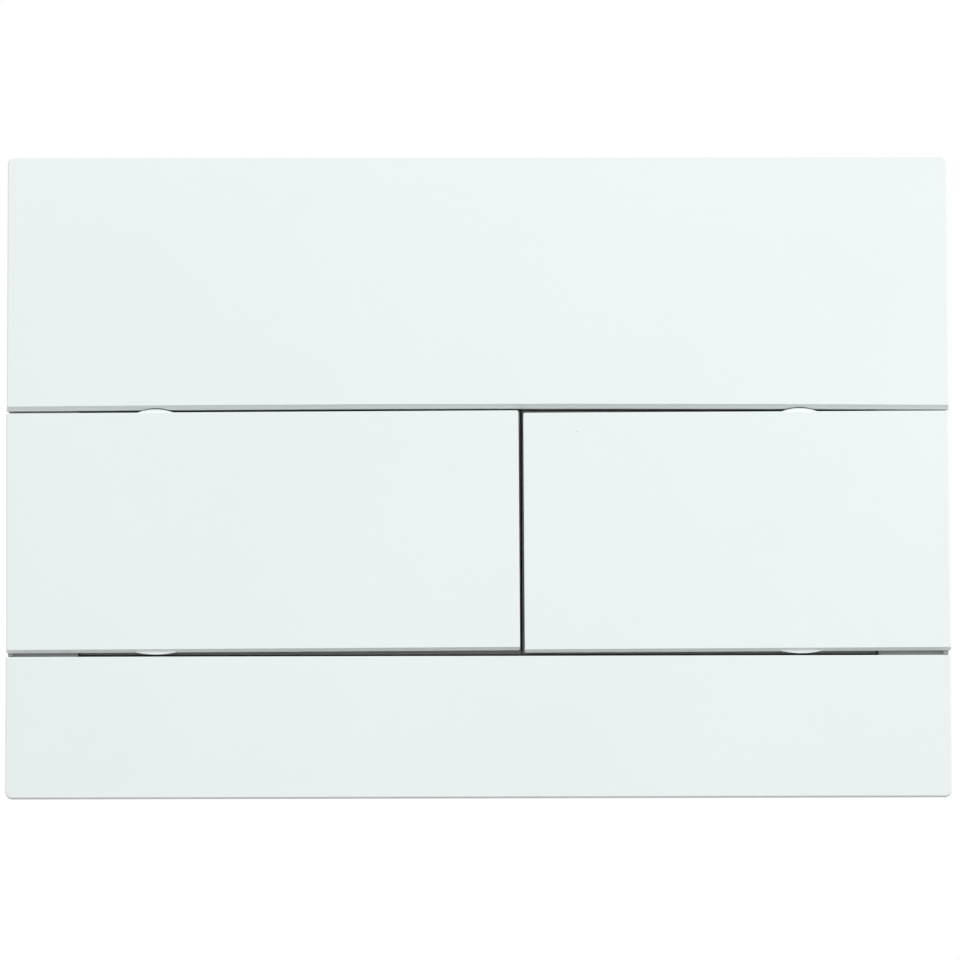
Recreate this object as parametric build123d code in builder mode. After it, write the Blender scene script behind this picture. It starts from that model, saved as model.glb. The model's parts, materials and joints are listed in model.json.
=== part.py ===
"""Slim dual-flush plate for a concealed cistern, with its carrier, hinged buttons and push rods.

X runs to the right, Z runs up and Y runs into the wall, whose face is the plane Y = 0.
Depths are measured out of the wall, so the front face is at +plate_depth
and everything that sits in the wall opening has a negative depth.
"""

import os
from math import atan2, cos, degrees, radians, sin

from build123d import *

os.makedirs("parts", exist_ok=True)

# Face of the plate
plate_width = 220.0
plate_height = 150.0
plate_depth = 5.0
plate_corner = 1.5
lower_height = 32.85
button_height = 55.3
slot_offset = 10.13
upper_slot = 1.5
lower_slot = 1.7
centre_slot = 1.1
slot_corner = 0.5
edge_round = 0.3
slot_round = 0.15
wall_draft = 4.0
face_thickness = 2.0
upper_edge_bow = 0.45
cover_bevel = 1.0
cover_bevel_depth = 1.25
button_bevel = 0.7
button_bevel_depth = 1.5

# Play in the hinges leaves each button a little out of square, in degrees
full_lean = 0.24
half_lean = 0.19

# Half-moon nubs on the top and bottom edges of the buttons, in line above each other
nub_x = 75.25
nub_chord = 8.5
nub_rise = 0.8
nub_setback = 0.4
nub_thickness = 1.6
nub_gap = 0.35
lower_nub_chord = 9.3
lower_nub_rise = 0.5
lower_nub_setback = 0.9

# Covers
cover_skirt = 1.6
cover_rib = 1.2
hook_width = 8.0
hook_thickness = 1.6
hook_nose = 1.0
hook_nose_length = 1.6
hook_clearance = 0.3
hook_play = 0.1
hook_land = 0.2
hook_margin = 10.5
rib_places = (-56.5, -18.8, 18.8, 56.5)

# Carrier
flange_thickness = 2.0
flange_inset = 0.3
rail_width = 16.6
rail_lip_width = 1.2
rail_lip_height = 0.8
rail_lip_gap = 0.3
wall_relief = 0.3
well_depth = 15.0
well_wall = 1.8
well_recess = 0.1
opening_margin = 11.0
back_rib = 1.6
back_rib_height = 3.0
bridge_thickness = 2.0
bridge_margin = 2.0
catch_width = 10.0
catch_rise = 0.9
catch_length = 2.5

# Hinges
axle_diameter = 3.0
hinge_inset = 4.4
hinge_depth = 1.5
knuckle_wall = 1.5
knuckle_length = 8.0
hinge_end_gap = 0.85
ear_thickness = 3.0
ear_radius = 2.8
ear_clearance = 0.03
knuckle_clearance = 0.1
axial_play = 0.4
axle_overhang = 0.8

# Buttons
skirt_wall = 1.6
skirt_reach = 4.5
skirt_end_gap = 1.0
skirt_lip = 0.35
skirt_lip_gap = 0.3
skirt_lip_drop_gap = 0.7
skirt_lip_thickness = 1.0
skirt_lip_reach = 1.0
button_rib = 1.2
button_rib_reach = 1.5
button_rib_gap = 1.5
spine_reach = 0.5
push_boss_diameter = 6.0
push_boss_reach = 1.0
push_boss_round = 0.4
stop_boss_diameter = 5.0
stop_spacing = 35.0

# Return springs
spring_offset = 10.25
spring_diameter = 8.0
spring_wire = 0.8
spring_turns = 6.0
spring_seat_gap = 0.05
spring_peg_gap = 0.5
spring_peg_height = 2.0

# Rubber pads and bumpers
pad_diameter = 8.0
pad_thickness = 0.8
bumper_diameter = 7.0
bumper_height = 2.6
bumper_chamfer = 0.8
bumper_stem = 3.0
bumper_stem_clearance = 0.1
stop_gap = 0.4

# Push rods
rod_spacing = 66.0
rod_diameter = 6.0
rod_end_depth = 70.0
rod_tail_diameter = 5.0
rod_tail_length = 25.0
rod_chamfer = 0.5
rod_travel = 3.5
rod_clearance = 0.3
cap_diameter = 12.0
cap_length = 5.7
cap_front_wall = 1.8
cap_flutes = 8
cap_flute_diameter = 2.4
thread_clearance = 0.05
rod_nut_width = 10.0
rod_nut_length = 2.5
nut_chamfer = 0.5

# Guide bushes
bush_diameter = 12.0
bush_bore_clearance = 0.3
bush_flange_diameter = 16.0
bush_flange_thickness = 1.5
bush_length = 9.5
bush_seat_clearance = 0.05

# Mounting plate
tray_gap = 1.5
tray_floor = 2.0
tray_wall = 1.8
tray_clearance = 0.5
tray_overlap = 8.0
tray_corner = 3.0
tray_rib = 1.6
tray_rib_height = 3.0
tray_rib_places = (-54.0, 0.0, 54.0)
catch_window_clearance = 0.5

# Fixing bolts
bolt_inset = 15.4
bolt_diameter = 6.0
bolt_thread_diameter = 5.0
bolt_shoulder_end = 0.5
bolt_chamfer = 0.5
bolt_end_depth = 60.0
bolt_hole_clearance = 0.3
bolt_head_diameter = 13.0
bolt_head_height = 4.0
bolt_head_chamfer = 0.25
bolt_flutes = 10
bolt_flute_diameter = 2.0
bolt_nut_width = 10.0
bolt_nut_length = 5.0

# Places worked out from the sizes above
half_width = plate_width / 2
half_height = plate_height / 2
lower_top = lower_height - half_height
button_bottom = lower_top + lower_slot
button_top = button_bottom + button_height
button_middle = (button_bottom + button_top) / 2
upper_bottom = button_top + upper_slot
upper_wall = upper_bottom - cover_bevel
skirt_bottom = button_bottom - button_bevel
nub_radius = (nub_chord**2 / 4 + nub_rise**2) / (2 * nub_rise)
full_inner_x = slot_offset - centre_slot / 2
half_inner_x = slot_offset + centre_slot / 2
face_back = plate_depth - face_thickness

window_half = half_width - rail_width
window_bottom = lower_top - well_recess
well_bottom = window_bottom - well_wall
well_top = upper_wall + upper_edge_bow + well_recess + well_wall
well_half = window_half + well_wall
bridge_half = spring_offset + spring_diameter / 2 + bridge_margin
bridge_front = bridge_thickness - well_depth
hinge_x = window_half - hinge_inset
hinge_span = button_height - 2 * (skirt_wall + hinge_end_gap + axle_overhang)
knuckle_radius = axle_diameter / 2 + knuckle_clearance + knuckle_wall
push_angle = rod_travel / (hinge_x - rod_spacing / 2)

tray_front = -(well_depth + tray_gap)
tray_back = tray_front - tray_floor
tray_half = well_half + tray_clearance + tray_wall
tray_bottom = well_bottom - tray_clearance - tray_wall
tray_top = well_top + tray_clearance + tray_wall
bolt_x = window_half - bolt_inset
bolt_nut_front = tray_back - tray_rib_height
rim_front = tray_front + tray_overlap + tray_gap
catch_depth = (rim_front + tray_front + tray_gap) / 2
cap_front = -(push_boss_reach + rod_clearance)
cap_back = cap_front - cap_length
rod_front = cap_front - cap_front_wall


def wall_plane(depth):
    """A plane parallel to the wall, that far out of it, facing the front."""
    return Plane.XZ.offset(depth)


def bow_at(x):
    """How far the slot edge of the upper cover rises above its ends at this place."""
    return upper_edge_bow * (1 - (x / half_width) ** 2)


def box_between(x0, x1, z0, z1, origin=(0, 0)):
    """A rectangle given by its sides, in a sketch whose own origin is at this point."""
    with Locations(((x0 + x1) / 2 - origin[0], (z0 + z1) / 2 - origin[1])):
        Rectangle(abs(x1 - x0), abs(z1 - z0))


def save(part, name):
    """Label a finished piece and write it to its own file."""
    part.label = name
    export_step(part, f"parts/{name}.step")


# Rows of snap hooks: the height of each row, and the way its noses point
hook_places = (-nub_x, 0.0, nub_x)
opening_half = half_width - opening_margin
opening_top = half_height - opening_margin
upper_hook_rows = (
    (well_top + hook_margin / 2, 1),
    (opening_top - hook_margin / 2, -1),
)
lower_hook_rows = (
    (tray_bottom - hook_margin / 2, 1),
    (-opening_top + hook_margin / 2, -1),
)

# Carrier frame: flange on the wall, well in the wall opening, hinge ears and rear bridge
with BuildPart() as carrier_frame:
    with BuildSketch(wall_plane(0)):
        RectangleRounded(
            plate_width - 2 * flange_inset, plate_height - 2 * flange_inset, plate_corner
        )
    extrude(amount=flange_thickness)

    # Relief behind the flange, so that only its outer ring lies on the wall
    rib_inner_half = opening_half - back_rib
    rib_inner_top = opening_top - back_rib
    with BuildSketch(wall_plane(0)):
        Rectangle(2 * rib_inner_half, 2 * rib_inner_top)
    extrude(amount=wall_relief, mode=Mode.SUBTRACT)

    # Well with the window that the buttons move in
    with BuildSketch(wall_plane(-well_depth)):
        box_between(-well_half, well_half, well_bottom, well_top)
    extrude(amount=well_depth + flange_thickness)
    with BuildSketch(wall_plane(-well_depth)):
        with BuildLine():
            corner = (window_half, upper_wall + bow_at(window_half) + well_recess)
            crown = (0, upper_wall + upper_edge_bow + well_recess)
            ThreePointArc((-corner[0], corner[1]), crown, corner)
            Polyline(
                corner,
                (window_half, window_bottom),
                (-window_half, window_bottom),
                (-corner[0], corner[1]),
            )
        make_face()
    extrude(amount=well_depth + flange_thickness, mode=Mode.SUBTRACT)

    # Lip along the outer edge of each side rail, behind the ends of the slots
    with BuildSketch(wall_plane(flange_thickness)):
        for side in (-1, 1):
            lip_x = side * (half_width - flange_inset)
            box_between(
                lip_x,
                lip_x - side * rail_lip_width,
                lower_top + rail_lip_gap,
                upper_wall - rail_lip_gap,
            )
    extrude(amount=rail_lip_height)

    # Bridge across the back of the well, behind the slot between the buttons
    with BuildSketch(wall_plane(-well_depth)):
        box_between(slot_offset - bridge_half, slot_offset + bridge_half, well_bottom, well_top)
    extrude(amount=bridge_thickness)
    spring_places = [
        (slot_offset - spring_offset, button_middle),
        (slot_offset + spring_offset, button_middle),
    ]
    with BuildSketch(wall_plane(bridge_front)):
        with Locations(*spring_places):
            Circle(spring_diameter / 2 - spring_wire - spring_peg_gap)
    extrude(amount=spring_peg_height)
    with BuildSketch(wall_plane(bridge_front)):
        for x, z in spring_places:
            with Locations((x, z - stop_spacing / 2), (x, z + stop_spacing / 2)):
                Circle(bumper_stem / 2 + bumper_stem_clearance)
    extrude(amount=-bridge_thickness, mode=Mode.SUBTRACT)

    # Ears that carry the hinge axles
    for side in (-1, 1):
        for end in (-1, 1):
            ear_outer = button_middle + end * hinge_span / 2
            with BuildSketch(Plane.XY.offset(min(ear_outer, ear_outer - end * ear_thickness))):
                with BuildLine():
                    wall_x = side * (window_half + well_wall / 2)
                    nose_x = side * hinge_x
                    Polyline(
                        (nose_x, hinge_depth - ear_radius),
                        (wall_x, hinge_depth - ear_radius),
                        (wall_x, hinge_depth + ear_radius),
                        (nose_x, hinge_depth + ear_radius),
                    )
                    ThreePointArc(
                        (nose_x, hinge_depth + ear_radius),
                        (nose_x - side * ear_radius, hinge_depth),
                        (nose_x, hinge_depth - ear_radius),
                    )
                make_face()
                with Locations((nose_x, hinge_depth)):
                    Circle(axle_diameter / 2 + ear_clearance, mode=Mode.SUBTRACT)
            extrude(amount=ear_thickness)

    # Locating rib inside the wall opening and stiffening ribs between it and the well
    with BuildSketch(wall_plane(-back_rib_height)):
        Rectangle(2 * opening_half, 2 * opening_top)
        Rectangle(2 * rib_inner_half, 2 * rib_inner_top, mode=Mode.SUBTRACT)
    extrude(amount=back_rib_height)
    with BuildSketch(wall_plane(-back_rib_height)):
        for x in rib_places:
            left, right = x - back_rib / 2, x + back_rib / 2
            box_between(left, right, well_top - well_wall / 2, opening_top - back_rib / 2)
            box_between(left, right, back_rib / 2 - opening_top, well_bottom + well_wall / 2)
    extrude(amount=back_rib_height + wall_relief)

    # Slots for the snap hooks of both covers
    with BuildSketch(wall_plane(0)):
        for height, nose in upper_hook_rows + lower_hook_rows:
            for x in hook_places:
                flex_side = height - nose * (hook_nose + hook_clearance)
                catch_side = height + nose * (hook_thickness + hook_clearance)
                edge = hook_width / 2 + hook_clearance
                box_between(x - edge, x + edge, flex_side, catch_side)
    extrude(amount=flange_thickness, mode=Mode.SUBTRACT)

    # Catches on the well for the mounting plate
    for side in (-1, 1):
        for wall_z, way in ((well_bottom, -1), (well_top, 1)):
            with BuildSketch(Plane.YZ.offset(side * nub_x - catch_width / 2)):
                with BuildLine():
                    Polyline(
                        (-catch_depth - catch_length / 2, wall_z + way * catch_rise),
                        (-catch_depth + catch_length / 2, wall_z),
                        (-catch_depth + catch_length / 2, wall_z - way * well_wall / 2),
                        (-catch_depth - catch_length / 2, wall_z - way * well_wall / 2),
                        close=True,
                    )
                make_face()
            extrude(amount=catch_width)
save(carrier_frame.part, "carrier_frame")


def build_cover(slot_edge, outer_edge, bow, bevel, hook_rows):
    """A shallow panel with a skirt, ribs and snap hooks, its slot edge rounded or bevelled."""
    toward_slot = 1 if slot_edge > outer_edge else -1
    wall_edge = slot_edge + toward_slot * bevel
    with BuildPart() as cover:
        with BuildSketch(wall_plane(flange_thickness)) as outline:
            with BuildLine():
                Polyline(
                    (-half_width, wall_edge),
                    (-half_width, outer_edge),
                    (half_width, outer_edge),
                    (half_width, wall_edge),
                )
                if bow:
                    ThreePointArc(
                        (half_width, wall_edge), (0, wall_edge + bow), (-half_width, wall_edge)
                    )
                else:
                    Line((half_width, wall_edge), (-half_width, wall_edge))
            make_face()
            corners = outline.vertices().group_by(Axis.Y)
            fillet(corners[0] if toward_slot > 0 else corners[-1], plate_corner)
        extrude(amount=plate_depth - flange_thickness)
        walls = cover.faces().filter_by(Axis.Y, reverse=True)
        walls = walls.sort_by_distance((0, -flange_thickness, wall_edge + bow))
        draft(walls[1:], wall_plane(plate_depth), wall_draft)
        front_edges = cover.faces().sort_by(Axis.Y)[0].edges()
        front_edges = front_edges.sort_by_distance((0, -plate_depth, wall_edge + bow))
        fillet(front_edges[1:], edge_round)
        if bevel:
            slant = degrees(atan2(bevel, cover_bevel_depth))
            beyond = half_width + 2 * bevel
            with BuildSketch(wall_plane(plate_depth)):
                with BuildLine():
                    ThreePointArc(
                        (-beyond, slot_edge + bow_at(beyond)),
                        (0, slot_edge + bow),
                        (beyond, slot_edge + bow_at(beyond)),
                    )
                    Polyline(
                        (beyond, slot_edge + bow_at(beyond)),
                        (beyond, slot_edge + toward_slot * 4 * bevel),
                        (-beyond, slot_edge + toward_slot * 4 * bevel),
                        (-beyond, slot_edge + bow_at(beyond)),
                    )
                make_face()
            extrude(amount=-cover_bevel_depth, taper=slant, mode=Mode.SUBTRACT)

            # Half-moon notches around the nubs of the buttons
            nub_centre = button_top + nub_rise - nub_radius
            with BuildSketch(wall_plane(flange_thickness)):
                with Locations((-nub_x, nub_centre), (nub_x, nub_centre)):
                    Circle(nub_radius + nub_gap)
            extrude(amount=plate_depth - flange_thickness, mode=Mode.SUBTRACT)
        else:
            front_edges = cover.faces().sort_by(Axis.Y)[0].edges()
            fillet(front_edges.sort_by_distance((0, -plate_depth, wall_edge))[0], slot_round)

        # Pocket behind the face, crossed by ribs that stand on the carrier
        inside = half_width - cover_skirt
        pocket_slot = wall_edge - toward_slot * cover_skirt + bow
        pocket_outer = outer_edge + toward_slot * cover_skirt
        with BuildSketch(wall_plane(flange_thickness)):
            box_between(-inside, inside, pocket_slot, pocket_outer)
            for x in rib_places:
                with Locations((x, (pocket_slot + pocket_outer) / 2)):
                    Rectangle(cover_rib, abs(pocket_slot - pocket_outer), mode=Mode.SUBTRACT)
        extrude(amount=face_back - flange_thickness, mode=Mode.SUBTRACT)

        # Snap hooks that reach through the carrier
        root = -face_back - face_thickness / 4
        for height, nose in hook_rows:
            back = height + nose * hook_thickness
            catch = hook_play - wall_relief
            tip = catch + hook_land + hook_nose_length
            for x in hook_places:
                with BuildSketch(Plane.YZ.offset(x - hook_width / 2)):
                    with BuildLine():
                        Polyline(
                            (root, height),
                            (tip, height),
                            (tip, height + nose * hook_thickness / 2),
                            (catch + hook_land, back + nose * hook_nose),
                            (catch, back + nose * hook_nose),
                            (catch, back),
                            (root, back),
                            close=True,
                        )
                    make_face()
                extrude(amount=hook_width)
    return cover.part


upper_cover = build_cover(
    upper_bottom, half_height, upper_edge_bow, cover_bevel, upper_hook_rows
)
save(upper_cover, "upper_cover")
save(build_cover(lower_top, -half_height, 0, 0, lower_hook_rows), "lower_cover")


def build_button(side, inner_x, spring_x, lean, lean_x):
    """One button: leaned face and skirts, ribs, hinge knuckles and bosses. Side is -1 on the left."""
    outer_x = side * half_width
    skirt_x = side * (window_half - skirt_end_gap)
    axis_x = side * hinge_x
    rod_x = side * rod_spacing / 2
    pivot = (lean_x, button_middle)
    slope = (cos(radians(lean)), 0, sin(radians(lean)))

    def leaned(depth):
        return Plane(origin=(lean_x, -depth, button_middle), x_dir=slope, z_dir=(0, -1, 0))

    def leaned_section(along):
        start = (lean_x + along * slope[0], 0, button_middle + along * slope[2])
        return Plane(origin=start, x_dir=(0, 1, 0), z_dir=slope)

    with BuildPart() as button:
        with BuildSketch(leaned(face_back)) as outline:
            box_between(inner_x, outer_x, skirt_bottom, button_top, pivot)
            inner_corners = outline.vertices().sort_by_distance((inner_x - lean_x, 0))[:2]
            fillet(inner_corners, slot_corner)
        extrude(amount=face_thickness)
        half_depth = face_back + face_thickness / 2
        end_wall = button.faces().sort_by_distance((outer_x, -half_depth, button_middle))[0]
        draft(end_wall, wall_plane(plate_depth), wall_draft)
        front_edges = button.faces().sort_by(Axis.Y)[0].edges()
        front_edges = front_edges.sort_by_distance((outer_x, -plate_depth, button_middle))
        fillet(front_edges[1:], slot_round)
        front_edges = button.faces().sort_by(Axis.Y)[0].edges()
        fillet(front_edges.sort_by_distance((outer_x, -plate_depth, button_middle))[0], edge_round)

        # Bevel along the lower edge of the face
        with BuildSketch(leaned_section(min(inner_x, outer_x) - lean_x - button_bevel)):
            with BuildLine():
                Polyline(
                    (-plate_depth, button_bottom - button_middle),
                    (button_bevel_depth - plate_depth, skirt_bottom - button_middle),
                    (-plate_depth, skirt_bottom - button_middle),
                    close=True,
                )
            make_face()
        extrude(amount=abs(outer_x - inner_x) + 2 * button_bevel, mode=Mode.SUBTRACT)

        # Skirts on the three sides that dip into the well
        with BuildSketch(leaned(-skirt_reach)) as skirts:
            box_between(inner_x, skirt_x, skirt_bottom, button_top, pivot)
            inner_corners = skirts.vertices().sort_by_distance((inner_x - lean_x, 0))[:2]
            fillet(inner_corners, slot_corner)
            inner_wall = inner_x + side * skirt_wall
            room = abs(outer_x - inner_wall)
            with Locations(((inner_wall + outer_x) / 2 - lean_x, -button_bevel / 2)):
                Rectangle(room, button_height + button_bevel - 2 * skirt_wall, mode=Mode.SUBTRACT)
        extrude(amount=skirt_reach + face_back)

        # Lip round the skirts that follows the carrier's window and closes the view into the well
        lip_x = inner_x - side * skirt_lip
        lip_end = side * (window_half - skirt_lip_gap)
        lip_bottom = window_bottom + skirt_lip_drop_gap
        lip_top = upper_wall + well_recess - skirt_lip_gap
        lip_middle = (lip_x + lip_end) / 2
        with BuildSketch(wall_plane(-skirt_lip_reach)):
            with BuildLine():
                ThreePointArc(
                    (lip_x, lip_top + bow_at(lip_x)),
                    (lip_middle, lip_top + bow_at(lip_middle)),
                    (lip_end, lip_top + bow_at(lip_end)),
                )
                Polyline(
                    (lip_end, lip_top + bow_at(lip_end)),
                    (lip_end, lip_bottom),
                    (lip_x, lip_bottom),
                    (lip_x, lip_top + bow_at(lip_x)),
                )
            make_face()
        extrude(amount=skirt_lip_thickness)
        with BuildSketch(leaned(-skirt_lip_reach)):
            with Locations(((inner_wall + outer_x) / 2 - lean_x, -button_bevel / 2)):
                Rectangle(room, button_height + button_bevel - 2 * skirt_wall)
        extrude(amount=skirt_lip_thickness, mode=Mode.SUBTRACT)

        # Cross ribs between the skirts, and a low spine from the hinge to the push boss
        with BuildSketch(wall_plane(-button_rib_reach)):
            beside_cap = rod_x - side * (cap_diameter / 2 + button_rib_gap)
            beside_hinge = axis_x - side * (knuckle_radius + button_rib_gap)
            for x in (beside_cap, beside_hinge):
                box_between(
                    x - button_rib / 2,
                    x + button_rib / 2,
                    skirt_bottom + skirt_wall / 2,
                    button_top - skirt_wall / 2,
                )
        extrude(amount=button_rib_reach + face_back)
        with BuildSketch(wall_plane(-spine_reach)):
            box_between(
                rod_x, beside_hinge, button_middle - button_rib / 2, button_middle + button_rib / 2
            )
        extrude(amount=spine_reach + face_back)

        # Hinge knuckles on webs
        for end in (-1, 1):
            outer = button_middle + end * (hinge_span / 2 - ear_thickness - axial_play)
            with BuildSketch(Plane.XY.offset(min(outer, outer - end * knuckle_length))):
                with Locations((axis_x, hinge_depth)):
                    Circle(knuckle_radius)
                box_between(
                    axis_x - knuckle_radius, axis_x + knuckle_radius, hinge_depth, -face_back
                )
                with Locations((axis_x, hinge_depth)):
                    Circle(axle_diameter / 2 + knuckle_clearance, mode=Mode.SUBTRACT)
            extrude(amount=knuckle_length)

        # Domed boss that pushes the rod
        with BuildSketch(wall_plane(-push_boss_reach)):
            with Locations((rod_x, button_middle)):
                Circle(push_boss_diameter / 2)
        extrude(amount=push_boss_reach + face_back)
        boss_tip = button.edges().filter_by(GeomType.CIRCLE)
        boss_tip = boss_tip.sort_by_distance((rod_x, push_boss_reach, button_middle))[0]
        fillet(boss_tip, push_boss_round)

        # Peg inside the return spring
        with BuildSketch(wall_plane(face_back - spring_peg_height)):
            with Locations((spring_x, button_middle)):
                Circle(spring_diameter / 2 - spring_wire - spring_peg_gap)
        extrude(amount=spring_peg_height)

        # Bosses that meet the bumpers at the end of the push
        stop_travel = abs(axis_x - spring_x) * push_angle
        stop_reach = -bridge_front - bumper_height - stop_gap - stop_travel
        with BuildSketch(wall_plane(-stop_reach)):
            with Locations(
                (spring_x, button_middle - stop_spacing / 2),
                (spring_x, button_middle + stop_spacing / 2),
            ):
                Circle(stop_boss_diameter / 2)
        extrude(amount=stop_reach + face_back)

        # Half-moon nubs, set back a little on the top edge and behind the bevel on the lower one
        middle = side * nub_x - lean_x
        for height, way, chord, rise, setback in (
            (button_top, 1, nub_chord, nub_rise, nub_setback),
            (skirt_bottom, -1, lower_nub_chord, lower_nub_rise, lower_nub_setback),
        ):
            left = middle - chord / 2
            right = middle + chord / 2
            edge = height - button_middle
            root = edge - way * slot_corner
            with BuildSketch(leaned(plate_depth - setback - nub_thickness)):
                with BuildLine():
                    ThreePointArc((left, edge), (middle, edge + way * rise), (right, edge))
                    Polyline((right, edge), (right, root), (left, root), (left, edge))
                make_face()
            extrude(amount=nub_thickness)
    return button.part


full_spring_x = slot_offset - spring_offset
half_spring_x = slot_offset + spring_offset
full_button = build_button(-1, full_inner_x, full_spring_x, full_lean, -hinge_x)
half_button = build_button(1, half_inner_x, half_spring_x, half_lean, (half_inner_x + half_width) / 2)
save(full_button, "full_flush_button")
save(half_button, "half_flush_button")


def build_axle(side):
    """Steel hinge pin held in the two ears of one side."""
    length = hinge_span + 2 * axle_overhang
    with BuildPart() as axle:
        with BuildSketch(Plane.XY.offset(button_middle - length / 2)):
            with Locations((side * hinge_x, hinge_depth)):
                Circle(axle_diameter / 2)
        extrude(amount=length)
        chamfer(axle.edges().filter_by(GeomType.CIRCLE), axle_overhang / 2)
    return axle.part


def build_spring(x):
    """Compression spring between the back of a button and the bridge."""
    mean_radius = (spring_diameter - spring_wire) / 2
    front = face_back - spring_seat_gap - spring_wire / 2
    length = front - bridge_front - spring_seat_gap - spring_wire / 2
    with BuildPart() as spring:
        with BuildLine() as coil:
            Helix(
                length / spring_turns,
                length,
                mean_radius,
                center=(x, -front, button_middle),
                direction=(0, 1, 0),
            )
        with BuildSketch(Plane(origin=coil.line @ 0, z_dir=coil.line % 0)):
            RegularPolygon(spring_wire / 2, 6)
        sweep(path=coil.line, is_frenet=True)
    return spring.part


def build_rest_pads(side):
    """Two rubber pads on a side rail, under the outer end of a button."""
    x = side * (half_width - rail_width / 2)
    with BuildPart() as pads:
        with BuildSketch(wall_plane(flange_thickness)):
            with Locations(
                (x, button_middle - stop_spacing / 2), (x, button_middle + stop_spacing / 2)
            ):
                Circle(pad_diameter / 2)
        extrude(amount=pad_thickness)
        chamfer(pads.faces().group_by(Axis.Y)[0].edges(), pad_thickness / 4)
    return pads.part


def build_stop_bumpers(x):
    """Two rubber bumpers with stems through the bridge."""
    with BuildPart() as bumpers:
        places = [
            (x, button_middle - stop_spacing / 2),
            (x, button_middle + stop_spacing / 2),
        ]
        with BuildSketch(wall_plane(bridge_front)):
            with Locations(*places):
                Circle(bumper_diameter / 2)
        extrude(amount=bumper_height)
        chamfer(bumpers.faces().group_by(Axis.Y)[0].edges(), bumper_chamfer)
        with BuildSketch(wall_plane(-well_depth)):
            with Locations(*places):
                Circle(bumper_stem / 2)
        extrude(amount=bridge_thickness)
    return bumpers.part


for name, side, spring_x in (("full", -1, full_spring_x), ("half", 1, half_spring_x)):
    save(build_axle(side), f"{name}_button_axle")
    save(build_spring(spring_x), f"{name}_return_spring")
    save(build_rest_pads(side), f"{name}_rest_pads")
    save(build_stop_bumpers(spring_x), f"{name}_stop_bumpers")


def build_push_rod(x):
    """Push rod from its cap to the lever of the flush valve."""
    tail_front = rod_tail_length - rod_end_depth
    with BuildPart() as rod:
        with BuildSketch(wall_plane(tail_front)):
            with Locations((x, button_middle)):
                Circle(rod_diameter / 2)
        extrude(amount=rod_front - tail_front)
        chamfer(rod.edges().filter_by(GeomType.CIRCLE), rod_chamfer / 2)
        with BuildSketch(wall_plane(-rod_end_depth)):
            with Locations((x, button_middle)):
                Circle(rod_tail_diameter / 2)
        extrude(amount=rod_tail_length)
        chamfer(rod.faces().sort_by(Axis.Y)[-1].edges(), rod_chamfer)
    return rod.part


def build_rod_cap(x):
    """Fluted adjusting cap, screwed on the front end of a rod."""
    with BuildPart() as cap:
        with BuildSketch(wall_plane(cap_back)):
            with Locations((x, button_middle)):
                Circle(cap_diameter / 2)
                with PolarLocations(cap_diameter / 2 + cap_flute_diameter / 4, cap_flutes):
                    Circle(cap_flute_diameter / 2, mode=Mode.SUBTRACT)
        extrude(amount=cap_length)
        chamfer(cap.faces().sort_by(Axis.Y)[0].edges(), cap_front_wall / 4)
        with BuildSketch(wall_plane(cap_back)):
            with Locations((x, button_middle)):
                Circle(rod_diameter / 2 + thread_clearance)
        extrude(amount=rod_front + thread_clearance - cap_back, mode=Mode.SUBTRACT)
    return cap.part


def build_hex_nut(x, z, front, across_flats, length, bore):
    """Hexagon nut with chamfered corners, its front face at this depth."""
    corner_radius = across_flats / 3**0.5
    with BuildPart() as nut:
        with BuildSketch(wall_plane(front - length)):
            with Locations((x, z)):
                RegularPolygon(corner_radius, 6)
                Circle(bore, mode=Mode.SUBTRACT)
        extrude(amount=length)
        with BuildSketch(Plane.YZ.offset(x)):
            with BuildLine():
                Polyline(
                    (-front, z),
                    (-front, z + across_flats / 2),
                    (-front + nut_chamfer, z + corner_radius),
                    (-front + length - nut_chamfer, z + corner_radius),
                    (-front + length, z + across_flats / 2),
                    (-front + length, z),
                    close=True,
                )
            make_face()
        revolve(axis=Axis((x, 0, z), (0, 1, 0)), mode=Mode.INTERSECT)
    return nut.part


def build_guide_bush(x):
    """Flanged bush that guides a rod through the mounting plate."""
    with BuildPart() as bush:
        with BuildSketch(wall_plane(tray_front)):
            with Locations((x, button_middle)):
                Circle(bush_flange_diameter / 2)
        extrude(amount=bush_flange_thickness)
        with BuildSketch(wall_plane(tray_front)):
            with Locations((x, button_middle)):
                Circle(bush_diameter / 2)
        extrude(amount=-bush_length)
        chamfer(bush.faces().sort_by(Axis.Y)[-1].edges(), bush_flange_thickness / 2)
        with BuildSketch(wall_plane(tray_front - bush_length)):
            with Locations((x, button_middle)):
                Circle(rod_diameter / 2 + bush_bore_clearance)
        extrude(amount=bush_length + bush_flange_thickness, mode=Mode.SUBTRACT)
    return bush.part


for name, side in (("full", -1), ("half", 1)):
    rod_x = side * rod_spacing / 2
    rod_bore = rod_diameter / 2 + thread_clearance
    save(build_push_rod(rod_x), f"{name}_push_rod")
    save(build_rod_cap(rod_x), f"{name}_rod_cap")
    nut = build_hex_nut(rod_x, button_middle, cap_back, rod_nut_width, rod_nut_length, rod_bore)
    save(nut, f"{name}_rod_nut")
    save(build_guide_bush(rod_x), f"{name}_guide_bush")

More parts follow.
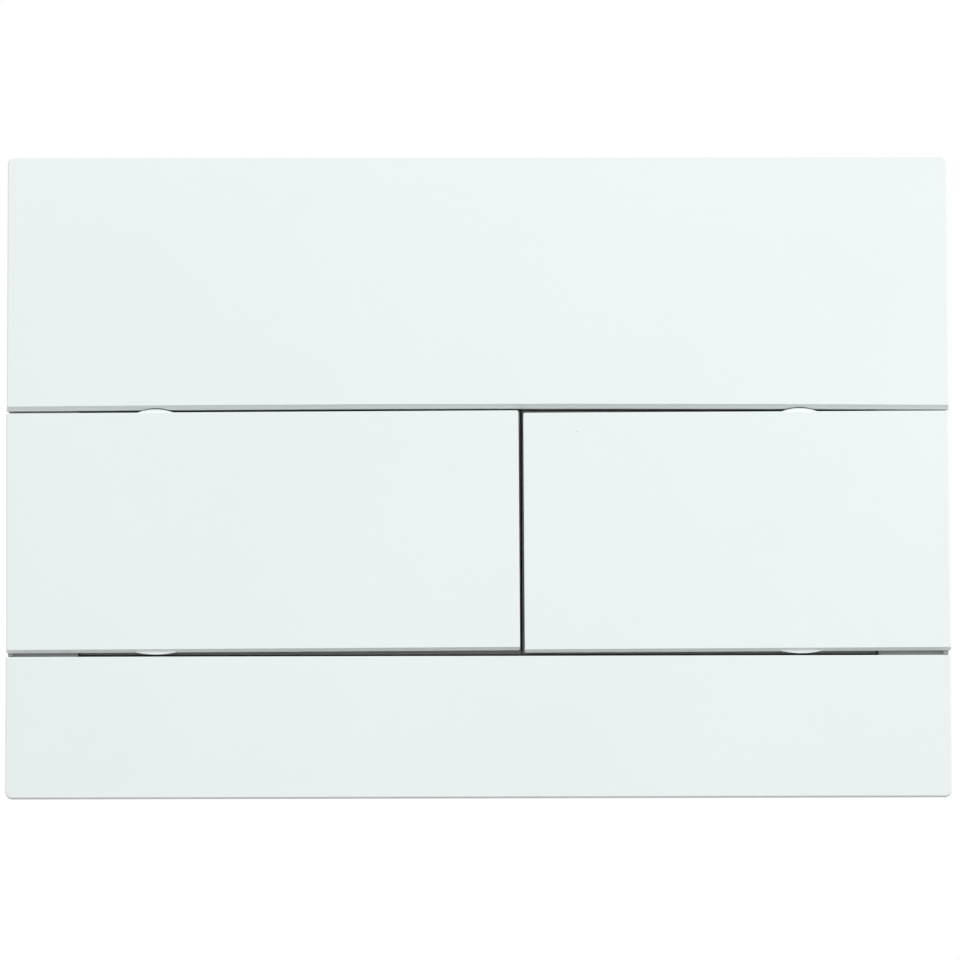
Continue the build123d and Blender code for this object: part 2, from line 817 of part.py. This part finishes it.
# Mounting plate: closed tray around the back of the well, with ribs behind its floor
with BuildPart() as mounting_plate:
    with BuildSketch(wall_plane(tray_back)) as tray_outline:
        box_between(-tray_half, tray_half, tray_bottom, tray_top)
        fillet(tray_outline.vertices(), tray_corner)
    extrude(amount=rim_front - tray_back)
    with BuildSketch(wall_plane(tray_front)):
        box_between(
            -tray_half + tray_wall,
            tray_half - tray_wall,
            tray_bottom + tray_wall,
            tray_top - tray_wall,
        )
    extrude(amount=rim_front - tray_front, mode=Mode.SUBTRACT)
    with BuildSketch(wall_plane(tray_back - tray_rib_height)):
        box_between(
            -tray_half + tray_corner,
            tray_half - tray_corner,
            button_middle - tray_rib / 2,
            button_middle + tray_rib / 2,
        )
        for x in tray_rib_places:
            box_between(
                x - tray_rib / 2,
                x + tray_rib / 2,
                tray_bottom + tray_corner,
                tray_top - tray_corner,
            )
        with Locations((-rod_spacing / 2, button_middle), (rod_spacing / 2, button_middle)):
            Circle(bush_flange_diameter / 2)
        with Locations((-bolt_x, 0), (bolt_x, 0)):
            Circle(bolt_head_diameter / 2)
    extrude(amount=tray_rib_height)
    with BuildSketch(wall_plane(tray_back - tray_rib_height)):
        with Locations((-rod_spacing / 2, button_middle), (rod_spacing / 2, button_middle)):
            Circle(bush_diameter / 2 + bush_seat_clearance)
        with Locations((-bolt_x, 0), (bolt_x, 0)):
            Circle(bolt_diameter / 2 + bolt_hole_clearance)
    extrude(amount=tray_rib_height + tray_floor, mode=Mode.SUBTRACT)
    for side in (-1, 1):
        with BuildSketch(Plane.XY.offset(tray_bottom)):
            with Locations((side * nub_x, -catch_depth)):
                Rectangle(
                    catch_width + 2 * catch_window_clearance,
                    catch_length + 2 * catch_window_clearance,
                )
        extrude(amount=tray_top - tray_bottom, mode=Mode.SUBTRACT)
save(mounting_plate.part, "mounting_plate")


def build_fixing_bolt(x):
    """Hand-turned bolt with a fluted head in front of the mounting plate."""
    with BuildPart() as bolt:
        with BuildSketch(wall_plane(tray_front)):
            with Locations((x, 0)):
                Circle(bolt_head_diameter / 2)
                with PolarLocations(bolt_head_diameter / 2 + bolt_flute_diameter / 4, bolt_flutes):
                    Circle(bolt_flute_diameter / 2, mode=Mode.SUBTRACT)
        extrude(amount=bolt_head_height)
        chamfer(bolt.faces().sort_by(Axis.Y)[0].edges(), bolt_head_chamfer)
        shoulder_back = bolt_nut_front - bolt_nut_length - bolt_shoulder_end
        with BuildSketch(wall_plane(shoulder_back)):
            with Locations((x, 0)):
                Circle(bolt_diameter / 2)
        extrude(amount=tray_front - shoulder_back)
        with BuildSketch(wall_plane(-bolt_end_depth)):
            with Locations((x, 0)):
                Circle(bolt_thread_diameter / 2)
        extrude(amount=shoulder_back + bolt_end_depth)
        chamfer(bolt.faces().sort_by(Axis.Y)[-1].edges(), bolt_chamfer)
    return bolt.part


for name, side in (("left", -1), ("right", 1)):
    nut_bore = bolt_diameter / 2 + thread_clearance
    save(build_fixing_bolt(side * bolt_x), f"{name}_fixing_bolt")
    nut = build_hex_nut(
        side * bolt_x, 0, bolt_nut_front, bolt_nut_width, bolt_nut_length, nut_bore
    )
    save(nut, f"{name}_bolt_nut")
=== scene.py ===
"""Looks for the flush button plate: materials, return springs, threads, light and camera.

Metres, in the frame of the CAD model: X to the right, Z up, Y into the wall.
"""

import json
import math

import bpy
from mathutils import Matrix, Vector


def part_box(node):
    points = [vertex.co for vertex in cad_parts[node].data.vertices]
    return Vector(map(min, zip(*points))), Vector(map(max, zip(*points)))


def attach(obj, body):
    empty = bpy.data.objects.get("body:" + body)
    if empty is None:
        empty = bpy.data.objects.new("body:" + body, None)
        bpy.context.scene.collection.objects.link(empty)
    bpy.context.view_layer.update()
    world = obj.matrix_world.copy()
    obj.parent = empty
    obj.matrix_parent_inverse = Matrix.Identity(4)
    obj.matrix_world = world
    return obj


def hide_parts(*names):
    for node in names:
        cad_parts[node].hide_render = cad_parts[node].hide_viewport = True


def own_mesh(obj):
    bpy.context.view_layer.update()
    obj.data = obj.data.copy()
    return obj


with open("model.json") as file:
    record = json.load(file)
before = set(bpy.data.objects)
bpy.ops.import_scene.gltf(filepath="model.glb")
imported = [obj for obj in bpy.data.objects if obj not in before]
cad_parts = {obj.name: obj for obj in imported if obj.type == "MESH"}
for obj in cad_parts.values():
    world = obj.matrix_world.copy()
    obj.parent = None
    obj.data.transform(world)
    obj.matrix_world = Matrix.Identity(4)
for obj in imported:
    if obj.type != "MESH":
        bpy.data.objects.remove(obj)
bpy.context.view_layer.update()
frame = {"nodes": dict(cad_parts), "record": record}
nodes = frame["nodes"]

MM = 0.001

# Colours of the materials
WHITE = (0.846, 0.862, 0.86)
# Grey painted into the white plastic behind the rims of the covers, as the shade in the slots
SLOT_SHADE_GREY = (0.42, 0.415, 0.4)
CARRIER_GREY = (0.44, 0.45, 0.44)
TRAY_GREY = (0.64, 0.655, 0.655)
ACETAL = (0.76, 0.77, 0.72)
STEEL = (0.6, 0.6, 0.61)
ZINC = (0.58, 0.6, 0.62)
# Darker zinc painted into the roots of the threads as their shade
ROOT_SHADE_ZINC = (0.3, 0.31, 0.32)
RUBBER = (0.03, 0.03, 0.03)

# Painted shade: the white plastic turns grey between these depths, behind the rims of the covers,
# so that the slots look shaded
SLOT_SHADE_DEPTHS = (-2.0 * MM, -1.5 * MM)

# Drawing marks on metal: the noise is stretched along this axis
ALONG_Y = (1, 0.1, 1)
ALONG_Z = (1, 1, 0.05)

# Return springs, between the back of a button and the bridge of the carrier
SPRING_FRONT = -2.95 * MM
SPRING_BACK = 12.95 * MM
SPRING_RADIUS = 3.6 * MM
WIRE_RADIUS = 0.4 * MM
SPRING_TURNS = 7.0
CLOSED_TURNS = 1.0
CLOSED_PITCH = 2.1 * WIRE_RADIUS
STEPS_PER_TURN = 28

# Threads of the fixing bolts
BOLT_X = 78.0 * MM
BOLT_Z = 0.0
SHOULDER_END = 27.0 * MM
BOLT_END = 60.0 * MM
THREAD_MAJOR = 2.5 * MM
THREAD_MINOR = 2.01 * MM
THREAD_PITCH = 0.8 * MM
THREAD_FOOT = 1.04 * THREAD_MAJOR
THREAD_SUNK = 0.02 * MM
FLANK_SLOPE = 1.5
ROOT_WIDTH = 0.2
# Thread faces between these distances from the axis get the painted shade of the roots
ROOT_FACES = (0.5 * MM, 2.2 * MM)
SHARP_ANGLE = 25
TOLERANCE = 0.01 * MM

# Studio: light from the world by direction, and the floor as it is seen and as it lights
FILL_FROM = (0.6, 0, 0.8)
FILL_LOW = 0.47
FILL_HIGH = 1.02
FLOOR_HALF = 3.0
FLOOR_Z = -0.16
FLOOR_SEEN = (0.57, 0.59)
FLOOR_BOUNCE = 0.36


# Materials
def math_node(tree, operation, first, second):
    """A math node whose inputs are numbers or the outputs of other nodes."""
    node = tree.nodes.new("ShaderNodeMath")
    node.operation = operation
    for value, socket in ((first, node.inputs[0]), (second, node.inputs[1])):
        if isinstance(value, (int, float)):
            socket.default_value = value
        else:
            tree.links.new(value, socket)
    return node.outputs["Value"]


class Graph:
    """A node material with short calls for the nodes that it uses."""

    def __init__(self, name, color, roughness, metallic=0.0):
        self.material = bpy.data.materials.new(name)
        self.material.use_nodes = True
        self.tree = self.material.node_tree
        self.shader = self.tree.nodes["Principled BSDF"]
        self.shader.inputs["Base Color"].default_value = (*color, 1)
        self.shader.inputs["Roughness"].default_value = roughness
        self.shader.inputs["Metallic"].default_value = metallic
        self.place = self.tree.nodes.new("ShaderNodeTexCoord").outputs["Object"]
        self.normal = None

    def link(self, out, into):
        self.tree.links.new(out, into)

    def noise(self, scale, detail=2.0, stretch=None):
        node = self.tree.nodes.new("ShaderNodeTexNoise")
        node.inputs["Scale"].default_value = scale
        node.inputs["Detail"].default_value = detail
        source = self.place
        if stretch:
            mapping = self.tree.nodes.new("ShaderNodeMapping")
            mapping.inputs["Scale"].default_value = stretch
            self.link(source, mapping.inputs["Vector"])
            source = mapping.outputs["Vector"]
        self.link(source, node.inputs["Vector"])
        return node.outputs["Fac"]

    def spread(self, fac, low, high, start=0.3, stop=0.7):
        """Takes a factor that runs from start to stop to one that runs from low to high."""
        node = self.tree.nodes.new("ShaderNodeMapRange")
        node.inputs["From Min"].default_value = start
        node.inputs["From Max"].default_value = stop
        node.inputs["To Min"].default_value = low
        node.inputs["To Max"].default_value = high
        self.link(fac, node.inputs["Value"])
        return node.outputs["Result"]

    def blend(self, fac, first, second):
        """Mixes two colours. A colour mix node has its sockets A and B at 6 and 7."""
        node = self.tree.nodes.new("ShaderNodeMix")
        node.data_type = "RGBA"
        for value, socket in ((first, node.inputs[6]), (second, node.inputs[7])):
            if isinstance(value, tuple):
                socket.default_value = (*value, 1)
            else:
                self.link(value, socket)
        self.link(fac, node.inputs[0])
        return node.outputs[2]

    def behind(self, start, stop):
        """A factor that goes from 0 to 1 between these two depths along Y."""
        split = self.tree.nodes.new("ShaderNodeSeparateXYZ")
        self.link(self.place, split.inputs["Vector"])
        return self.spread(split.outputs["Y"], 0, 1, start, stop)

    def specks(self, cell, radius, share):
        """A factor that is 1 in a few small soft-edged dots scattered over the surface."""
        voronoi = self.tree.nodes.new("ShaderNodeTexVoronoi")
        voronoi.inputs["Scale"].default_value = 1 / cell
        self.link(self.place, voronoi.inputs["Vector"])
        core = 0.6 * radius
        dot = self.spread(voronoi.outputs["Distance"], 1, 0, core / cell, radius / cell)
        split = self.tree.nodes.new("ShaderNodeSeparateColor")
        self.link(voronoi.outputs["Color"], split.inputs["Color"])
        chosen = math_node(self.tree, "LESS_THAN", split.outputs["Red"], share)
        return math_node(self.tree, "MULTIPLY", dot, chosen)

    def color(self, out):
        self.link(out, self.shader.inputs["Base Color"])

    def roughness(self, out):
        self.link(out, self.shader.inputs["Roughness"])

    def bump(self, fac, strength, distance):
        node = self.tree.nodes.new("ShaderNodeBump")
        node.inputs["Strength"].default_value = strength
        node.inputs["Distance"].default_value = distance
        self.link(fac, node.inputs["Height"])
        if self.normal:
            self.link(self.normal, node.inputs["Normal"])
        self.normal = node.outputs["Normal"]
        self.link(self.normal, self.shader.inputs["Normal"])


def shade(color, factor):
    return tuple(channel * factor for channel in color)


def moulded(name, color, rough, grain=0.3, specks=0.0, slot_shade=None):
    """Moulded plastic: fine grain, slight mottling, a few dust specks, and painted shade behind the
    given depths.
    """
    g = Graph(name, color, rough)
    flow = g.spread(g.noise(scale=14, detail=3), 0, 1)
    surface = g.blend(flow, shade(color, 0.988), shade(color, 1.008))
    if specks:
        dust = g.specks(cell=22 * MM, radius=0.26 * MM, share=specks)
        surface = g.blend(dust, surface, shade(color, 0.8))
    # Painted shade: the colour turns grey behind the rims of the covers, where the slots lie in
    # shade
    if slot_shade:
        surface = g.blend(g.behind(*SLOT_SHADE_DEPTHS), surface, slot_shade)
    g.color(surface)
    g.roughness(g.spread(g.noise(scale=180), rough - 0.04, rough + 0.04))
    g.bump(g.noise(scale=3000), strength=grain, distance=0.03 * MM)
    g.bump(g.noise(scale=45, detail=1), strength=0.1, distance=0.02 * MM)
    return g.material


def metal(name, color, rough, stretch):
    """Bright metal with drawing marks along one way and a slight tarnish."""
    g = Graph(name, color, rough, metallic=1.0)
    marks = g.noise(scale=900, detail=3, stretch=stretch)
    tarnish = g.spread(g.noise(scale=160, detail=3), 0, 1)
    g.color(g.blend(tarnish, shade(color, 0.86), color))
    g.roughness(g.spread(marks, rough - 0.08, rough + 0.12))
    g.bump(marks, strength=0.25, distance=0.02 * MM)
    return g.material


def rubber(name, color, rough):
    """Dull rubber with a fine open texture."""
    g = Graph(name, color, rough)
    patches = g.spread(g.noise(scale=300, detail=3), 0, 1)
    g.color(g.blend(patches, shade(color, 0.8), shade(color, 1.3)))
    g.bump(g.noise(scale=2200, detail=3), strength=0.5, distance=0.04 * MM)
    return g.material


looks = {
    # The white plastic carries painted shade behind the rims of its covers
    "white_plastic": moulded(
        "satin_white_plastic", WHITE, rough=0.42, specks=0.12, slot_shade=SLOT_SHADE_GREY
    ),
    "carrier_plastic": moulded("matt_grey_plastic", CARRIER_GREY, rough=0.55, grain=0.7),
    "tray_plastic": moulded("light_grey_plastic", TRAY_GREY, rough=0.6, grain=0.7),
    "rod_plastic": moulded("natural_acetal", ACETAL, rough=0.38),
    "steel": metal("drawn_steel", STEEL, rough=0.3, stretch=ALONG_Z),
    "zinc_steel": metal("zinc_plated_steel", ZINC, rough=0.34, stretch=ALONG_Y),
    "rubber": rubber("black_rubber", RUBBER, rough=0.75),
}
# Painted shade for the roots of the threads: a darker zinc
thread_root = metal("zinc_thread_root_shade", ROOT_SHADE_ZINC, rough=0.5, stretch=ALONG_Y)
for part in frame["record"]["subparts"]:
    mesh = nodes[part["node"]].data
    mesh.materials.clear()
    mesh.materials.append(looks[part["material_slot"]])


# Pieces that take the place of plain CAD solids
def add_piece(name, verts, faces, body, slot, replaced):
    mesh = bpy.data.meshes.new(name)
    mesh.from_pydata(verts, [], faces)
    mesh.validate()
    mesh.shade_smooth()
    mesh.materials.append(looks[slot])
    piece = bpy.data.objects.new(name, mesh)
    bpy.context.scene.collection.objects.link(piece)
    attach(piece, body)
    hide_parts(replaced)
    return piece


def wire(points, radius, sides=10):
    """Round wire along points, closed at both ends."""
    verts, faces = [], []
    count = len(points)
    for i, point in enumerate(points):
        ahead = points[min(i + 1, count - 1)] - points[max(i - 1, 0)]
        ahead.normalize()
        across = Vector((0, 1, 0)).cross(ahead).normalized()
        other = ahead.cross(across)
        for k in range(sides):
            turn = 2 * math.pi * k / sides
            verts.append(point + radius * (math.cos(turn) * across + math.sin(turn) * other))
    for i in range(count - 1):
        for k in range(sides):
            a = i * sides + k
            b = i * sides + (k + 1) % sides
            faces.append((a, b, b + sides, a + sides))
    faces.append(tuple(range(sides - 1, -1, -1)))
    last = (count - 1) * sides
    faces.append(tuple(range(last, last + sides)))
    return verts, faces


def coil(x, z):
    """Middle line of a compression spring along Y, with a closed turn at each end."""
    start = SPRING_FRONT + WIRE_RADIUS
    stop = SPRING_BACK - WIRE_RADIUS
    closed_rise = CLOSED_PITCH * CLOSED_TURNS
    steps = int(SPRING_TURNS * STEPS_PER_TURN)
    points = []
    for i in range(steps + 1):
        t = SPRING_TURNS * i / steps
        if t < CLOSED_TURNS:
            y = start + CLOSED_PITCH * t
        elif t > SPRING_TURNS - CLOSED_TURNS:
            y = stop - CLOSED_PITCH * (SPRING_TURNS - t)
        else:
            share = (t - CLOSED_TURNS) / (SPRING_TURNS - 2 * CLOSED_TURNS)
            y = start + closed_rise + share * (stop - start - 2 * closed_rise)
        turn = 2 * math.pi * t
        side = SPRING_RADIUS * math.cos(turn)
        up = SPRING_RADIUS * math.sin(turn)
        points.append(Vector((x + side, y, z + up)))
    return points


def spring(name):
    """Return spring in round wire, squashed as far as the far side of its seat goes in."""
    low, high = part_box(name)
    x = (low[0] + high[0]) / 2
    z = (low[2] + high[2]) / 2
    verts, faces = wire(coil(x, z), WIRE_RADIUS)
    piece = add_piece(name + "_coil", verts, faces, "plate", "steel", name)
    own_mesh(piece)


def screw_thread(x, z, start, stop, sides=20, rows=7):
    """Screw thread along Y that runs out at both ends, with a cap at its far end."""
    angles = [2 * math.pi * k / sides for k in range(sides)]
    ring = [(math.cos(angle), math.sin(angle)) for angle in angles]
    foot_y = start - THREAD_SUNK
    verts = [Vector((x + THREAD_FOOT * c, foot_y, z + THREAD_FOOT * s)) for c, s in ring]
    count = round((stop - start) / THREAD_PITCH * rows)
    for i in range(count + 1):
        y = start + (stop - start) * i / count
        turns = (y - start) / THREAD_PITCH
        run_out = min(1.0, turns, (stop - y) / THREAD_PITCH)
        for k, (c, s) in enumerate(ring):
            wave = abs(2 * ((turns - k / sides) % 1.0) - 1)
            height = min(1.0, max(0.0, FLANK_SLOPE * wave - ROOT_WIDTH))
            r = THREAD_MINOR + (THREAD_MAJOR - THREAD_MINOR) * height * run_out
            verts.append(Vector((x + r * c, y, z + r * s)))
    faces = []
    for i in range(count + 1):
        for k in range(sides):
            a = i * sides + k
            b = i * sides + (k + 1) % sides
            faces.append((a, a + sides, b + sides, b))
    last = (count + 1) * sides
    faces.append(tuple(range(last + sides - 1, last - 1, -1)))
    return verts, faces


def threaded_bolt(name, x):
    """The CAD bolt's head and shoulder, with a real thread in place of its plain end."""
    source = nodes[name].data
    front = {v.index for v in source.vertices if v.co.y < SHOULDER_END + TOLERANCE}
    kept = [face for face in source.polygons if front.issuperset(face.vertices)]
    used = sorted({v for face in kept for v in face.vertices})
    place = {v: i for i, v in enumerate(used)}
    verts = [source.vertices[v].co.copy() for v in used]
    faces = [tuple(place[v] for v in face.vertices) for face in kept]
    first = len(verts)
    thread_verts, thread_faces = screw_thread(x, BOLT_Z, SHOULDER_END, BOLT_END)
    verts += thread_verts
    faces += [tuple(v + first for v in face) for face in thread_faces]
    piece = add_piece(name + "_threaded", verts, faces, "plate", "zinc_steel", name)
    piece.data.set_sharp_from_angle(angle=math.radians(SHARP_ANGLE))
    # Painted shade: the faces in the roots of the thread take the darker zinc
    piece.data.materials.append(thread_root)
    inner, outer = ROOT_FACES
    for face in piece.data.polygons:
        off_axis = math.hypot(face.center.x - x, face.center.z - BOLT_Z)
        if face.center.y > SHOULDER_END and inner < off_axis < outer:
            face.material_index = 1


threaded_bolt("left_fixing_bolt", -BOLT_X)
threaded_bolt("right_fixing_bolt", BOLT_X)
spring("full_return_spring")
spring("half_return_spring")


# White space round the plate, a pale floor under it, and soft light from above on the right
def seen_directly(tree):
    """A factor that is 1 for what the camera sees, also in a mirror or through glass."""
    path = tree.nodes.new("ShaderNodeLightPath")
    pick = path.outputs["Is Camera Ray"]
    for name in ("Is Glossy Ray", "Is Transmission Ray"):
        pick = math_node(tree, "MAXIMUM", pick, path.outputs[name])
    return pick


def setup_world():
    world = bpy.data.worlds.new("studio")
    bpy.context.scene.world = world
    world.use_nodes = True
    tree = world.node_tree
    tree.nodes.clear()
    out = tree.nodes.new("ShaderNodeOutputWorld")
    seen = tree.nodes.new("ShaderNodeBackground")
    seen.inputs["Color"].default_value = (1, 1, 1, 1)
    seen.inputs["Strength"].default_value = 1.0
    fill = tree.nodes.new("ShaderNodeBackground")
    fill.inputs["Color"].default_value = (1, 1, 1, 1)
    around = tree.nodes.new("ShaderNodeTexCoord")
    facing = tree.nodes.new("ShaderNodeVectorMath")
    facing.operation = "DOT_PRODUCT"
    facing.inputs[1].default_value = Vector(FILL_FROM)
    level = tree.nodes.new("ShaderNodeMapRange")
    level.inputs["From Min"].default_value = -1
    level.inputs["To Min"].default_value = FILL_LOW
    level.inputs["To Max"].default_value = FILL_HIGH
    tree.links.new(around.outputs["Generated"], facing.inputs[0])
    tree.links.new(facing.outputs["Value"], level.inputs["Value"])
    tree.links.new(level.outputs["Result"], fill.inputs["Strength"])
    mix = tree.nodes.new("ShaderNodeMixShader")
    tree.links.new(seen_directly(tree), mix.inputs["Fac"])
    tree.links.new(fill.outputs["Background"], mix.inputs[1])
    tree.links.new(seen.outputs["Background"], mix.inputs[2])
    tree.links.new(mix.outputs["Shader"], out.inputs["Surface"])


def add_light(name, place, size, power, color=(1, 1, 1)):
    """A round soft lamp that faces the origin."""
    data = bpy.data.lights.new(name, "AREA")
    data.shape = "DISK"
    data.size = size
    data.energy = power
    data.color = color
    lamp = bpy.data.objects.new(name, data)
    lamp.location = place
    lamp.rotation_euler = (-Vector(place)).to_track_quat("-Z", "Y").to_euler()
    bpy.context.scene.collection.objects.link(lamp)


def grey(level):
    return (level, level, level)


def add_floor():
    mesh = bpy.data.meshes.new("floor")
    corners = [(-1, -1), (1, -1), (1, 1), (-1, 1)]
    verts = [(x * FLOOR_HALF, y * FLOOR_HALF, FLOOR_Z) for x, y in corners]
    mesh.from_pydata(verts, [], [(0, 1, 2, 3)])
    low, high = FLOOR_SEEN
    g = Graph("pale_floor", grey((low + high) / 2), 0.8)
    pale = g.blend(g.spread(g.noise(scale=30, detail=4), 0, 1), grey(low), grey(high))
    g.color(g.blend(seen_directly(g.tree), grey(FLOOR_BOUNCE), pale))
    mesh.materials.append(g.material)
    floor = bpy.data.objects.new("floor", mesh)
    bpy.context.scene.collection.objects.link(floor)


def add_camera(place, yaw, pitch, roll, field):
    """A camera that looks along +Y, turned by these angles in degrees."""
    yaw, pitch, roll = (math.radians(angle) for angle in (yaw, pitch, roll))
    level = math.cos(pitch)
    ahead = Vector((math.sin(yaw) * level, math.cos(yaw) * level, math.sin(pitch)))
    right = Vector((math.cos(yaw), -math.sin(yaw), 0))
    up = right.cross(ahead)
    rolled_right = math.cos(roll) * right + math.sin(roll) * up
    rolled_up = math.cos(roll) * up - math.sin(roll) * right
    data = bpy.data.cameras.new("camera")
    data.angle = math.radians(field)
    data.clip_start = 0.05
    data.clip_end = 20
    camera = bpy.data.objects.new("camera", data)
    turn = Matrix((rolled_right, rolled_up, -ahead)).transposed().to_4x4()
    camera.matrix_world = Matrix.Translation(Vector(place)) @ turn
    bpy.context.scene.collection.objects.link(camera)
    bpy.context.scene.camera = camera


setup_world()
add_light("key", place=(0.9, -1.7, 1.2), size=1.2, power=25.5, color=(0.86, 1, 1))
add_light("back", place=(-1.1, 1.3, 1.2), size=0.8, power=7)
add_floor()
add_camera(
    place=(-6.5 * MM, -1281.8 * MM, -100.0 * MM),
    yaw=0.312,
    pitch=4.431,
    roll=-0.143,
    field=10.0,
)
bpy.context.scene.view_settings.view_transform = "Standard"
